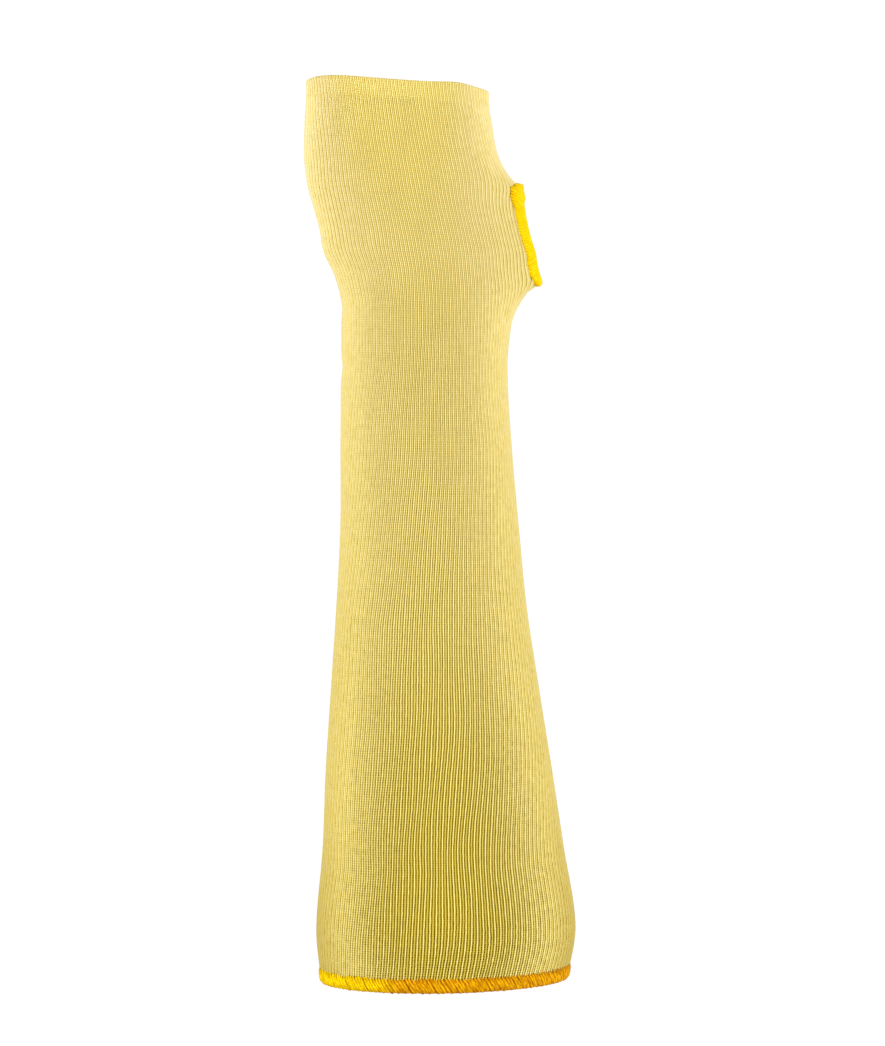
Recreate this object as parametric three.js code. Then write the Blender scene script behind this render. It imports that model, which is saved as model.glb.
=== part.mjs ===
// Cut resistant sleeve: a knitted tube that covers the forearm and the palm, with a slot for the thumb.
// Lengths are in millimetres. +Z runs up the sleeve from the arm opening to the hand opening, +X points to
// the thumb and -Y to the front. The origin is the centre of the arm opening.

import * as THREE from "three";

const { clamp, lerp, smoothstep } = THREE.MathUtils;
const TURN = 2 * Math.PI;

// Lengths along the sleeve
const SLEEVE_LENGTH = 356;
const THUMB_ROOT_LENGTH = 27.3;
const THUMB_SLOT_LENGTH = 35;
const KNUCKLE_LENGTH = 41.7;

// Widths and depths of the knitted tube, over the fabric
const ARM_OPENING_WIDTH = 98.4;
const ARM_OPENING_DEPTH = 94;
const WRIST_WIDTH = 66.2;
const WRIST_DEPTH = 52;
const THUMB_ROOT_WIDTH = 90.4;
const THUMB_ROOT_DEPTH = 47;
const HAND_OPENING_WIDTH = 72.6;
const HAND_OPENING_DEPTH = 48;

// Sideways place of each centre, seen from the arm opening
const WRIST_LEAN = -8.1;
const THUMB_ROOT_LEAN = -4.5;
const HAND_OPENING_LEAN = -18.8;

// Rise of each opening's edge at the thumb side, and its drop on the other side
const ARM_OPENING_RISE = 0.9;
const HAND_OPENING_RISE = -2.1;

// Fabric, welt and folds
const FABRIC_THICKNESS = 1.5;
const WELT_HEIGHT = 8;
const WELT_PROUD = 0.4;
const THUMB_SLOT_GAPE = 13;
const THUMB_PINCH = 0.7;
const FOLD_DEPTH = 1.1;
const FOLD_BREADTH = 4.2;

// Overlock thread that binds the edges: how far it reaches over the fabric, its thickness and its gap to
// the fabric. Taper is the share of the thickness that it loses at its border.
const HEM_REACH = 4.7;
const EDGING_REACH = 4.5;
const THREAD_THICKNESS = 0.9;
const THREAD_CLEARANCE = 0.35;
const THREAD_TAPER = 0.3;

// Heights that follow from the lengths
const SLOT_TOP = SLEEVE_LENGTH - KNUCKLE_LENGTH;
const SLOT_BOTTOM = SLOT_TOP - THUMB_SLOT_LENGTH;
const SLOT_MIDDLE = (SLOT_TOP + SLOT_BOTTOM) / 2;
const WRIST_TOP = SLOT_BOTTOM - THUMB_ROOT_LENGTH;
const WELT_FOOT = SLEEVE_LENGTH - WELT_HEIGHT;

// Zones along the sleeve, each from its foot to its head
const FOREARM = { foot: 0, head: WRIST_TOP };
const THUMB_ROOT = { foot: WRIST_TOP, head: SLOT_BOTTOM };
const SLOT = { foot: SLOT_BOTTOM, head: SLOT_TOP };
const KNUCKLES = { foot: SLOT_TOP, head: WELT_FOOT };
const WELT = { foot: WELT_FOOT, head: SLEEVE_LENGTH };

// Cross sections with named sizes
const ARM_END = { width: ARM_OPENING_WIDTH, depth: ARM_OPENING_DEPTH, lean: 0 };
const WRIST = { width: WRIST_WIDTH, depth: WRIST_DEPTH, lean: WRIST_LEAN };
const THUMB = { width: THUMB_ROOT_WIDTH, depth: THUMB_ROOT_DEPTH, lean: THUMB_ROOT_LEAN };
const HAND_END = { width: HAND_OPENING_WIDTH, depth: HAND_OPENING_DEPTH, lean: HAND_OPENING_LEAN };

// The tube's sections from the arm opening up. Each row lies at a share of its zone and between two named
// sections: size and sway are the shares of the way from the first to the second, for the widths and for
// the sideways place. Pinch is the share of THUMB_PINCH that draws the wall in towards the thumb.
const SECTIONS = [
  { zone: FOREARM, at: 0.0, from: ARM_END, to: WRIST, size: 0.0, sway: 0.0, pinch: 0 },
  { zone: FOREARM, at: 0.08, from: ARM_END, to: WRIST, size: -0.15, sway: -0.07, pinch: 0 },
  { zone: FOREARM, at: 0.205, from: ARM_END, to: WRIST, size: 0.075, sway: 0.07, pinch: 0 },
  { zone: FOREARM, at: 0.33, from: ARM_END, to: WRIST, size: 0.263, sway: 0.286, pinch: 0 },
  { zone: FOREARM, at: 0.46, from: ARM_END, to: WRIST, size: 0.489, sway: 0.476, pinch: 0 },
  { zone: FOREARM, at: 0.585, from: ARM_END, to: WRIST, size: 0.702, sway: 0.643, pinch: 0 },
  { zone: FOREARM, at: 0.715, from: ARM_END, to: WRIST, size: 0.853, sway: 0.738, pinch: 0 },
  { zone: FOREARM, at: 0.84, from: ARM_END, to: WRIST, size: 0.94, sway: 0.905, pinch: 0 },
  { zone: FOREARM, at: 0.966, from: ARM_END, to: WRIST, size: 1.0, sway: 1.0, pinch: 0 },
  { zone: THUMB_ROOT, at: 0.28, from: WRIST, to: THUMB, size: 0.045, sway: 0.2, pinch: 0 },
  { zone: THUMB_ROOT, at: 0.57, from: WRIST, to: THUMB, size: 0.13, sway: 0.54, pinch: 0.12 },
  { zone: THUMB_ROOT, at: 1.0, from: WRIST, to: THUMB, size: 0.595, sway: 1.27, pinch: 0.6 },
  { zone: SLOT, at: 0.25, from: WRIST, to: THUMB, size: 0.995, sway: 1.44, pinch: 1.0 },
  { zone: SLOT, at: 0.5, from: WRIST, to: THUMB, size: 1.0, sway: 1.0, pinch: 1.0 },
  { zone: SLOT, at: 0.76, from: THUMB, to: HAND_END, size: 0.034, sway: 0.19, pinch: 0.95 },
  { zone: SLOT, at: 1.0, from: THUMB, to: HAND_END, size: 0.18, sway: 0.45, pinch: 0.62 },
  { zone: KNUCKLES, at: 0.276, from: THUMB, to: HAND_END, size: 0.567, sway: 0.78, pinch: 0.2 },
  { zone: KNUCKLES, at: 0.513, from: THUMB, to: HAND_END, size: 0.764, sway: 0.916, pinch: 0.05 },
  { zone: KNUCKLES, at: 0.86, from: THUMB, to: HAND_END, size: 0.904, sway: 0.972, pinch: 0 },
  { zone: WELT, at: 0.5, from: THUMB, to: HAND_END, size: 1.034, sway: 1.0, pinch: 0 },
  { zone: WELT, at: 1.0, from: THUMB, to: HAND_END, size: 1.0, sway: 1.0, pinch: 0 },
];

// Folds of the slack fabric over the wrist. Height is a share of the zone, turn and span are shares of a
// full turn from the thumb round the back, climb is a share of WRIST_WIDTH and depth one of FOLD_DEPTH.
const FOLDS = [
  { zone: THUMB_ROOT, height: 0.1, turn: 0.778, span: 0.08, climb: 0.05, depth: 1.0 },
  { zone: FOREARM, height: 0.965, turn: 0.5, span: 0.07, climb: -0.03, depth: 0.6 },
  { zone: THUMB_ROOT, height: 0.3, turn: 0.27, span: 0.1, climb: 0.04, depth: 0.8 },
];

// Waves of the edge at each end. Turn and span are as above, and lift is a share of WELT_HEIGHT.
const EDGE_WAVES = [
  { end: HAND_END, turn: 0.62, span: 0.08, lift: 0.14 },
];

// How finely the mesh follows the fabric
const COLUMNS = 48;
const COLUMN_CROWDING = 0.5;
const FOREARM_ROWS = 22;
const THUMB_ROOT_ROWS = 5;
const SLOT_ROWS = 12;
const KNUCKLE_ROWS = 5;
const WELT_ROWS = 3;
const FOREARM_ROW_CROWDING = 0.35;
const EDGING_STATIONS = 32;
const LIP_REACH_POWER = 3;
const PINCH_POWER = 4;
const ANGLE_STEP = 0.002;
const HEIGHT_STEP = 0.1;
const SEARCH_STEPS = 40;

const heightIn = (zone, share) => lerp(zone.foot, zone.head, share);

// A smooth curve through a row's values, held level past both ends.
function smoothCurve(heights, values) {
  const last = values.length - 1;
  const slopes = values.map((value, k) => {
    const below = Math.max(k - 1, 0);
    const above = Math.min(k + 1, last);
    return (values[above] - values[below]) / (heights[above] - heights[below]);
  });
  return (height) => {
    const level = clamp(height, heights[0], heights[last]);
    let k = 0;
    while (k < last - 1 && level > heights[k + 1]) {
      k += 1;
    }
    const span = heights[k + 1] - heights[k];
    const s = (level - heights[k]) / span;
    const leaving = s * (1 - s) ** 2 * span * slopes[k];
    const arriving = s ** 2 * (s - 1) * span * slopes[k + 1];
    return lerp(values[k], values[k + 1], s * s * (3 - 2 * s)) + leaving + arriving;
  };
}

const sectionHeights = SECTIONS.map((row) => heightIn(row.zone, row.at));
const sectionCurve = (value) => smoothCurve(sectionHeights, SECTIONS.map(value));
const halfWidthAt = sectionCurve((row) => lerp(row.from.width, row.to.width, row.size) / 2);
const halfDepthAt = sectionCurve((row) => lerp(row.from.depth, row.to.depth, row.size) / 2);
const centreAt = sectionCurve((row) => lerp(row.from.lean, row.to.lean, row.sway));
const pinchAt = sectionCurve((row) => row.pinch * THUMB_PINCH);

// How far an angle lies from a mark at a share of the turn, in shares of the mark's span.
function spansFrom(angle, mark) {
  const turned = angle / TURN - mark.turn;
  return (turned - Math.round(turned)) / mark.span;
}

// The edges rise, drop and wave across the two openings, and the middle of the sleeve stays level.
function riseAt(angle, height) {
  const share = height / SLEEVE_LENGTH;
  const [end, slope] = share < 0.5 ? [ARM_END, ARM_OPENING_RISE] : [HAND_END, HAND_OPENING_RISE];
  let rise = slope * Math.cos(angle);
  for (const wave of EDGE_WAVES.filter((each) => each.end === end)) {
    rise += wave.lift * WELT_HEIGHT * Math.exp(-(spansFrom(angle, wave) ** 2));
  }
  return rise * Math.abs(1 - 2 * share);
}

// A point of the smooth tube. Angles run from the thumb side round the back to the front.
function tubePoint(angle, height) {
  const towardsThumb = ((1 + Math.cos(angle)) / 2) ** PINCH_POWER;
  return new THREE.Vector3(
    centreAt(height) + halfWidthAt(height) * Math.cos(angle),
    halfDepthAt(height) * Math.sin(angle) * (1 - pinchAt(height) * towardsThumb),
    height + riseAt(angle, height),
  );
}

function tubeNormal(angle, height) {
  const around = tubePoint(angle + ANGLE_STEP, height).sub(tubePoint(angle - ANGLE_STEP, height));
  const up = tubePoint(angle, height + HEIGHT_STEP).sub(tubePoint(angle, height - HEIGHT_STEP));
  return around.cross(up).normalize();
}

function foldDepth(angle, height) {
  let depth = 0;
  for (const fold of FOLDS) {
    const across = spansFrom(angle, fold);
    const line = heightIn(fold.zone, fold.height) + fold.climb * WRIST_WIDTH * across;
    const along = (height - line) / FOLD_BREADTH;
    depth += fold.depth * FOLD_DEPTH * Math.exp(-across * across - along * along);
  }
  return depth;
}

// A point on the fabric's outer face, moved out along the normal by the offset.
function fabricPoint(angle, height, offset) {
  const welt = WELT_PROUD * smoothstep(height, WELT_FOOT, WELT_FOOT + WELT_PROUD);
  const proud = offset + welt - foldDepth(angle, height);
  return tubePoint(angle, height).addScaledVector(tubeNormal(angle, height), proud);
}

// Half the angle that the open thumb slot takes at mid height, found from its gape.
function findSlotAngle() {
  let low = 0;
  let high = TURN / 4;
  for (let step = 0; step < SEARCH_STEPS; step += 1) {
    const middle = (low + high) / 2;
    if (tubePoint(middle, SLOT_MIDDLE).y < THUMB_SLOT_GAPE / 2) {
      low = middle;
    } else {
      high = middle;
    }
  }
  return low;
}

const SLOT_ANGLE = findSlotAngle();

function slotAngleAt(height) {
  const share = (height - SLOT_MIDDLE) / (THUMB_SLOT_LENGTH / 2);
  return SLOT_ANGLE * Math.sqrt(Math.max(0, 1 - share * share));
}

// Column shares crowd together at the thumb slot, where the fabric bends most.
const columnShare = (column) => {
  const share = column / COLUMNS;
  return share - (COLUMN_CROWDING * Math.sin(TURN * share)) / TURN;
};

// The columns of stitches part at the slot and close up again round the back.
function columnAngle(share, height) {
  const side = 1 - 2 * share;
  return TURN * share + slotAngleAt(height) * Math.sign(side) * Math.abs(side) ** LIP_REACH_POWER;
}

// Rows of the mesh. Only the rows inside the slot are open, and they crowd towards its round ends.
function fabricRows() {
  const rows = [{ height: 0, open: false }];
  const addRows = (zone, count, spacing, open) => {
    for (let k = 1; k <= count; k += 1) {
      rows.push({ height: heightIn(zone, spacing(k / count)), open: open && k < count });
    }
  };
  const evenly = (share) => share;
  const crowdedAbove = (share) => share * (1 + FOREARM_ROW_CROWDING * (1 - share));
  const crowdedAtEnds = (share) => (1 - Math.cos(Math.PI * share)) / 2;
  addRows(FOREARM, FOREARM_ROWS, crowdedAbove, false);
  addRows(THUMB_ROOT, THUMB_ROOT_ROWS, evenly, false);
  addRows(SLOT, SLOT_ROWS, crowdedAtEnds, true);
  addRows(KNUCKLES, KNUCKLE_ROWS, evenly, false);
  addRows(WELT, WELT_ROWS, evenly, false);
  return rows;
}

// The knitted tube: an outer and an inner face, joined round both openings and round the thumb slot.
function knitSleeveGeometry() {
  const rows = fabricRows();
  const positions = [];
  const triangles = [];
  const pointsInFace = rows.length * (COLUMNS + 1);
  for (const offset of [0, -FABRIC_THICKNESS]) {
    for (const { height } of rows) {
      for (let column = 0; column <= COLUMNS; column += 1) {
        const angle = columnAngle(columnShare(column), height);
        const thicker = offset === 0 ? 0 : -WELT_PROUD * smoothstep(height, WELT_FOOT, WELT_FOOT + WELT_PROUD);
        positions.push(...fabricPoint(angle, height, offset + thicker).toArray());
      }
    }
  }
  const pointIndex = (face, row, column) => {
    const joined = column === COLUMNS && !rows[row].open;
    return face * pointsInFace + row * (COLUMNS + 1) + (joined ? 0 : column);
  };
  const addQuad = (a, b, c, d) => triangles.push(a, b, c, a, c, d);
  const outer = (row, column) => pointIndex(0, row, column);
  const inner = (row, column) => pointIndex(1, row, column);
  const top = rows.length - 1;
  for (let row = 0; row < top; row += 1) {
    for (let column = 0; column < COLUMNS; column += 1) {
      const next = column + 1;
      addQuad(outer(row, column), outer(row, next), outer(row + 1, next), outer(row + 1, column));
      addQuad(inner(row, column), inner(row + 1, column), inner(row + 1, next), inner(row, next));
    }
    if (rows[row].open || rows[row + 1].open) {
      addQuad(outer(row, 0), outer(row + 1, 0), inner(row + 1, 0), inner(row, 0));
      addQuad(outer(row + 1, COLUMNS), outer(row, COLUMNS), inner(row, COLUMNS), inner(row + 1, COLUMNS));
    }
  }
  for (let column = 0; column < COLUMNS; column += 1) {
    const next = column + 1;
    addQuad(outer(0, column), inner(0, column), inner(0, next), outer(0, next));
    addQuad(outer(top, column), outer(top, next), inner(top, next), inner(top, column));
  }
  return geometryFrom(positions, triangles);
}

// Section of the thread that folds round a fabric edge. Along runs from the edge into the fabric, and
// across runs out from the fabric's outer face.
function threadSection(reach) {
  const outside = THREAD_CLEARANCE + THREAD_THICKNESS;
  const inside = -FABRIC_THICKNESS - THREAD_CLEARANCE;
  const innermost = inside - THREAD_THICKNESS;
  const middle = -FABRIC_THICKNESS / 2;
  const shoulder = 0.75;
  const taper = THREAD_THICKNESS * THREAD_TAPER;
  return [
    { along: reach, across: outside - taper },
    { along: reach / 2, across: outside },
    { along: 0, across: outside },
    { along: -outside * shoulder, across: lerp(middle, outside, shoulder) },
    { along: -outside, across: middle },
    { along: -outside * shoulder, across: lerp(middle, innermost, shoulder) },
    { along: 0, across: innermost },
    { along: reach / 2, across: innermost },
    { along: reach, across: innermost + taper },
    { along: reach, across: inside },
    { along: reach / 2, across: inside },
    { along: -THREAD_CLEARANCE, across: inside },
    { along: -THREAD_CLEARANCE, across: THREAD_CLEARANCE },
    { along: reach / 2, across: THREAD_CLEARANCE },
    { along: reach, across: THREAD_CLEARANCE },
  ];
}

// A closed ring of one section, placed at each station by the given function.
function ringGeometry(section, stationCount, place) {
  const positions = [];
  const triangles = [];
  for (let station = 0; station < stationCount; station += 1) {
    for (const { along, across } of section) {
      positions.push(...place(station, along, across).toArray());
    }
  }
  for (let station = 0; station < stationCount; station += 1) {
    for (let k = 0; k < section.length; k += 1) {
      const here = station * section.length;
      const ahead = ((station + 1) % stationCount) * section.length;
      const next = (k + 1) % section.length;
      triangles.push(here + k, here + next, ahead + next, here + k, ahead + next, ahead + k);
    }
  }
  return geometryFrom(positions, triangles);
}

// The hem folds round the cut edge of the arm opening, over the same columns as the fabric.
function armOpeningHemGeometry() {
  const place = (station, along, across) => fabricPoint(TURN * columnShare(station), along, across);
  return ringGeometry(threadSection(HEM_REACH), COLUMNS, place);
}

// The edging folds round the edge of the thumb slot, a long oval on the tube's wall.
function thumbSlotEdgingGeometry() {
  const lip = tubePoint(SLOT_ANGLE, SLOT_MIDDLE);
  const pastLip = tubePoint(SLOT_ANGLE + EDGING_REACH / THUMB_ROOT_DEPTH, SLOT_MIDDLE);
  const anglePerLength = EDGING_REACH / THUMB_ROOT_DEPTH / lip.distanceTo(pastLip);
  const place = (station, along, across) => {
    const way = (TURN * station) / EDGING_STATIONS;
    const angle = -(SLOT_ANGLE + along * anglePerLength) * Math.sin(way);
    const height = SLOT_MIDDLE - (THUMB_SLOT_LENGTH / 2 + along) * Math.cos(way);
    return fabricPoint(angle, height, across);
  };
  return ringGeometry(threadSection(EDGING_REACH), EDGING_STATIONS, place);
}

function geometryFrom(positions, triangles) {
  const geometry = new THREE.BufferGeometry();
  geometry.setAttribute("position", new THREE.Float32BufferAttribute(positions, 3));
  geometry.setIndex(triangles);
  geometry.computeVertexNormals();
  return geometry;
}

function namedMesh(name, geometry, color, roughness) {
  const material = new THREE.MeshStandardMaterial({ color, roughness, metalness: 0 });
  const mesh = new THREE.Mesh(geometry, material);
  mesh.name = name;
  return mesh;
}

const sleeve = new THREE.Group();
sleeve.add(namedMesh("knit_sleeve", knitSleeveGeometry(), 0xdcc372, 0.9));
sleeve.add(namedMesh("thumb_slot_edging", thumbSlotEdgingGeometry(), 0xf8d413, 0.65));
sleeve.add(namedMesh("arm_opening_hem", armOpeningHemGeometry(), 0xefb30e, 0.65));

export default sleeve;
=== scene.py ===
"""Dresses the cut resistant sleeve: pale yellow knit, lemon thumb slot edging and golden overlocked hem.

The sleeve is one knitted tube, filled out as on an arm. Its stitch columns, the wales, are raised in the
mesh, and the stitches in them are drawn by the material. Both edges are bound by wrapped overlock strands.
Lengths are in metres. +Z runs up the sleeve, +X points to the thumb and -Y to the front.
"""

import logging
import math
from collections.abc import Callable
from dataclasses import dataclass
from enum import Enum

import bmesh
import bpy
import numpy as np
from mathutils import Matrix, Vector


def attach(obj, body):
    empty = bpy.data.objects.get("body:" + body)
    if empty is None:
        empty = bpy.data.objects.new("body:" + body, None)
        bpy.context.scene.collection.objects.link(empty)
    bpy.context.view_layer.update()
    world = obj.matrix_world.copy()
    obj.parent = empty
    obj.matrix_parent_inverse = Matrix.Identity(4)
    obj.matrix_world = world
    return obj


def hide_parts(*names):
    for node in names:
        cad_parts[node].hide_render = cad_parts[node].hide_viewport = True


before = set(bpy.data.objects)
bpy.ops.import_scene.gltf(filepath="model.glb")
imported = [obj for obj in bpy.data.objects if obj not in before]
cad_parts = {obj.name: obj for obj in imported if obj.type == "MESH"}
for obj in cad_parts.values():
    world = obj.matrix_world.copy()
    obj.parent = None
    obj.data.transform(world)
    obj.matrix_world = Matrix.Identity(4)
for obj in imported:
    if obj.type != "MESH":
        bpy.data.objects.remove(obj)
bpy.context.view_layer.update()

BODY = "root"
TURN = 2.0 * math.pi
UV_NAME = "Stitches"
MERGE_DISTANCE = 1e-6
log = logging.getLogger("sleeve")

Array = np.ndarray
Colour = tuple[float, float, float, float]
Pair = tuple[float, float]


class Slot(Enum):
    """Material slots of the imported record."""

    KNIT = "knit"
    EDGING = "edging_thread"
    HEM = "hem_thread"


# Form of the sleeve


@dataclass(frozen=True)
class Section:
    """A named cross section over the fabric, with the sideways place of its centre."""

    width: float
    depth: float
    lean: float


@dataclass(frozen=True)
class Zone:
    """A stretch along the sleeve, from its foot to its head."""

    foot: float
    head: float

    def at(self, share: float | Array) -> float | Array:
        """Height at a share of the zone."""
        return self.foot + (self.head - self.foot) * share


@dataclass(frozen=True)
class Row:
    """A section between two named sections, at a share of its zone.

    Size and sway are the shares of the way from the first to the second, for the widths and for the
    sideways place. Pinch is the share of the form's pinch that draws the wall in towards the thumb.
    """

    zone: Zone
    start: Section
    end: Section
    at: float
    size: float
    sway: float
    pinch: float

    def between(self, measure: str, share: float) -> float:
        """A measure at a share of the way from the first section to the second."""
        first, second = getattr(self.start, measure), getattr(self.end, measure)
        return first + (second - first) * share


@dataclass(frozen=True)
class Fold:
    """A shallow fold: its place, and its half span as shares of a full turn. Climb and depth are lengths."""

    height: float
    turn: float
    span: float
    climb: float
    depth: float


@dataclass(frozen=True)
class SlotEnd:
    """How far the bound edge stands out at an end of the slot, and how deep the fabric dips beside it."""

    stand: float
    dip: float


def smooth_step(value: Array, low: float, high: float) -> Array:
    """A soft step from 0 at low to 1 at high."""
    share = np.clip((value - low) / (high - low), 0.0, 1.0)
    return share * share * (3 - 2 * share)


def walk(points: Array) -> Array:
    """The length walked along a line, up to each of its points."""
    return np.concatenate([[0.0], np.cumsum(np.linalg.norm(np.diff(points, axis=0), axis=1))])


def signed(angle: Array) -> Array:
    """An angle brought to within half a turn of the thumb side."""
    return angle - TURN * np.round(angle / TURN)


@dataclass
class SleeveForm:
    """The outer face of the knitted tube, as a function of angle and height.

    Angles run from the thumb side round the back to the front.
    """

    length: float = 0.356
    thumb_root_length: float = 0.0273
    slot_length: float = 0.035
    knuckle_length: float = 0.0417
    arm_end: Section = Section(width=0.0984, depth=0.094, lean=0.0)
    wrist: Section = Section(width=0.0662, depth=0.052, lean=-0.0081)
    thumb: Section = Section(width=0.0904, depth=0.047, lean=-0.0045)
    hand_end: Section = Section(width=0.0726, depth=0.048, lean=-0.0188)
    arm_end_rise: float = 0.0009
    hand_end_rise: float = -0.0021
    hand_end_waves: tuple[Fold, ...] = (
        Fold(height=0.356, turn=0.62, span=0.08, climb=0.0, depth=0.00112),
        Fold(height=0.356, turn=0.865, span=0.045, climb=0.0, depth=0.001),
    )
    thickness: float = 0.0015
    welt_height: float = 0.008
    welt_proud: float = 0.0004
    slot_gape: float = 0.013
    slot_squareness: float = 3.2
    slot_parting_angle: float = 1.1
    slot_foot_end: SlotEnd = SlotEnd(stand=0.0016, dip=0.0004)
    slot_head_end: SlotEnd = SlotEnd(stand=-0.0018, dip=0.0003)
    slot_end_reach: float = 0.0048
    slot_end_spread: float = 0.0042
    pinch: float = 0.7
    pinch_power: float = 4.0
    fold_depth: float = 0.0011
    fold_breadth: float = 0.0042

    def __post_init__(self) -> None:
        """Works out the zones, the curves through the sections and the slot's half angle."""
        slot_head = self.length - self.knuckle_length
        slot_foot = slot_head - self.slot_length
        wrist_head = slot_foot - self.thumb_root_length
        welt_foot = self.length - self.welt_height
        self.forearm = Zone(0.0, wrist_head)
        self.thumb_root = Zone(wrist_head, slot_foot)
        self.slot = Zone(slot_foot, slot_head)
        self.knuckles = Zone(slot_head, welt_foot)
        self.welt = Zone(welt_foot, self.length)
        rows = self._rows()
        heights = np.array([row.zone.at(row.at) for row in rows])
        self._half_width = self._curve(heights, [row.between("width", row.size) / 2 for row in rows])
        self._half_depth = self._curve(heights, [row.between("depth", row.size) / 2 for row in rows])
        self._centre = self._curve(heights, [row.between("lean", row.sway) for row in rows])
        self._pinch = self._curve(heights, [row.pinch * self.pinch for row in rows])
        self.folds = (
            Fold(self.thumb_root.at(0.1), 0.778, 0.08, 0.05 * self.wrist.width, self.fold_depth),
            Fold(self.forearm.at(0.965), 0.5, 0.07, -0.03 * self.wrist.width, 0.6 * self.fold_depth),
            Fold(self.thumb_root.at(0.3), 0.27, 0.1, 0.04 * self.wrist.width, 0.8 * self.fold_depth),
        )
        self.slot_half_angle = self._find_slot_half_angle()

    def _rows(self) -> list[Row]:
        """The sections from the arm opening up to the hand opening, as shares at, size, sway and pinch."""
        arm, wrist, thumb, hand = self.arm_end, self.wrist, self.thumb, self.hand_end
        stretches = (
            (self.forearm, arm, wrist, (
                (0.0, 0.0, 0.0, 0.0), (0.08, -0.15, -0.07, 0.0), (0.205, 0.075, 0.07, 0.0),
                (0.33, 0.263, 0.286, 0.0), (0.46, 0.489, 0.476, 0.0), (0.585, 0.702, 0.643, 0.0),
                (0.715, 0.853, 0.738, 0.0), (0.84, 0.94, 0.905, 0.0), (0.966, 1.0, 1.0, 0.0),
            )),
            (self.thumb_root, wrist, thumb, (
                (0.28, 0.045, 0.2, 0.0), (0.57, 0.13, 0.54, 0.12), (1.0, 0.595, 1.27, 0.6),
            )),
            (self.slot, wrist, thumb, ((0.25, 0.995, 1.44, 1.0), (0.5, 1.0, 1.0, 1.0))),
            (self.slot, thumb, hand, ((0.76, 0.034, 0.19, 0.95), (1.0, 0.18, 0.45, 0.62))),
            (self.knuckles, thumb, hand, (
                (0.276, 0.567, 0.78, 0.2), (0.513, 0.764, 0.916, 0.05), (0.86, 0.904, 0.972, 0.0),
            )),
            (self.welt, thumb, hand, ((0.5, 1.034, 1.0, 0.0), (1.0, 1.0, 1.0, 0.0))),
        )
        return [Row(zone, start, end, *shares) for zone, start, end, table in stretches for shares in table]

    @staticmethod
    def _curve(heights: Array, values: list[float]) -> Callable[[Array], Array]:
        """Makes a smooth curve through a row's values, held level past both ends.

        Args:
            heights: heights of the rows.
            values: one value for each row.

        Returns:
            A function of height.
        """
        known = np.array(values)
        last = len(known) - 1
        below = np.maximum(np.arange(last + 1) - 1, 0)
        above = np.minimum(np.arange(last + 1) + 1, last)
        slopes = (known[above] - known[below]) / (heights[above] - heights[below])

        def at(height: Array) -> Array:
            """Value at a height."""
            level = np.clip(height, heights[0], heights[last])
            k = np.minimum(np.searchsorted(heights[1:], level, side="left"), last - 1)
            span = heights[k + 1] - heights[k]
            s = (level - heights[k]) / span
            leaving = s * (1 - s) ** 2 * span * slopes[k]
            arriving = s**2 * (s - 1) * span * slopes[k + 1]
            return known[k] + (known[k + 1] - known[k]) * s * s * (3 - 2 * s) + leaving + arriving

        return at

    @staticmethod
    def _spans_from(angle: Array, fold: Fold) -> Array:
        """How far an angle lies from a fold's middle, in shares of its span."""
        turned = angle / TURN - fold.turn
        return (turned - np.round(turned)) / fold.span

    def _rise(self, angle: Array, height: Array) -> Array:
        """Rise, drop and wave of the fabric towards both openings; the middle stays level."""
        share = height / self.length
        low = self.arm_end_rise * np.cos(angle)
        waves = [wave.depth * np.exp(-self._spans_from(angle, wave) ** 2) for wave in self.hand_end_waves]
        high = self.hand_end_rise * np.cos(angle) + sum(waves)
        return np.where(share < 0.5, low, high) * np.abs(1 - 2 * share)

    def tube(self, angle: Array, height: Array) -> Array:
        """Points of the smooth tube."""
        towards_thumb = ((1 + np.cos(angle)) / 2) ** self.pinch_power
        x = self._centre(height) + self._half_width(height) * np.cos(angle)
        y = self._half_depth(height) * np.sin(angle) * (1 - self._pinch(height) * towards_thumb)
        z = height + self._rise(angle, height)
        return np.stack(np.broadcast_arrays(x, y, z), axis=-1)

    def normal(self, angle: Array, height: Array) -> Array:
        """Outward normals of the smooth tube."""
        angle_step, height_step = 0.002, 0.0001
        around = self.tube(angle + angle_step, height) - self.tube(angle - angle_step, height)
        up = self.tube(angle, height + height_step) - self.tube(angle, height - height_step)
        out = np.cross(around, up)
        return out / np.linalg.norm(out, axis=-1, keepdims=True)

    def skin(self, angle: Array, height: Array, offset: Array) -> Array:
        """Points on the fabric's outer face, moved out along the normal.

        Args:
            angle: angles from the thumb side round the back.
            height: heights over the arm opening.
            offset: distances out from the outer face.

        Returns:
            An array of points, its last axis being x, y and z.
        """
        proud = offset + self.welt_rise(height) + self._slot_end_rise(angle, height)
        for fold in self.folds:
            across = self._spans_from(angle, fold)
            along = (height - fold.height - fold.climb * across) / self.fold_breadth
            proud = proud - fold.depth * np.exp(-across * across - along * along)
        return self.tube(angle, height) + self.normal(angle, height) * proud[..., None]

    def welt_rise(self, height: Array) -> Array:
        """How far the start-up welt stands out of the fabric below it."""
        return self.welt_proud * smooth_step(height, self.welt.foot, self.welt.foot + self.welt_proud)

    def _slot_end_rise(self, angle: Array, height: Array) -> Array:
        """Stand of the bound edge and dip of the fabric beside it, at both ends of the slot."""
        turned = signed(angle)
        half_length = self.slot_length / 2
        level = (height - self.slot.at(0.5)) / half_length
        ring = np.sqrt(np.abs(level) ** self.slot_squareness + (turned / self.slot_half_angle) ** 2)
        past = (ring ** (2 / self.slot_squareness) - 1) * half_length
        near_edge = 1 - smooth_step(past, 0.0, self.slot_end_reach)
        beside = np.exp(-(((past - self.slot_end_reach) / self.slot_end_spread) ** 2))
        stand = np.where(level > 0, self.slot_head_end.stand, self.slot_foot_end.stand)
        dip = np.where(level > 0, self.slot_head_end.dip, self.slot_foot_end.dip)
        return (stand * near_edge - dip * beside) * smooth_step(np.abs(level), 0.5, 1.0)

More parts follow.
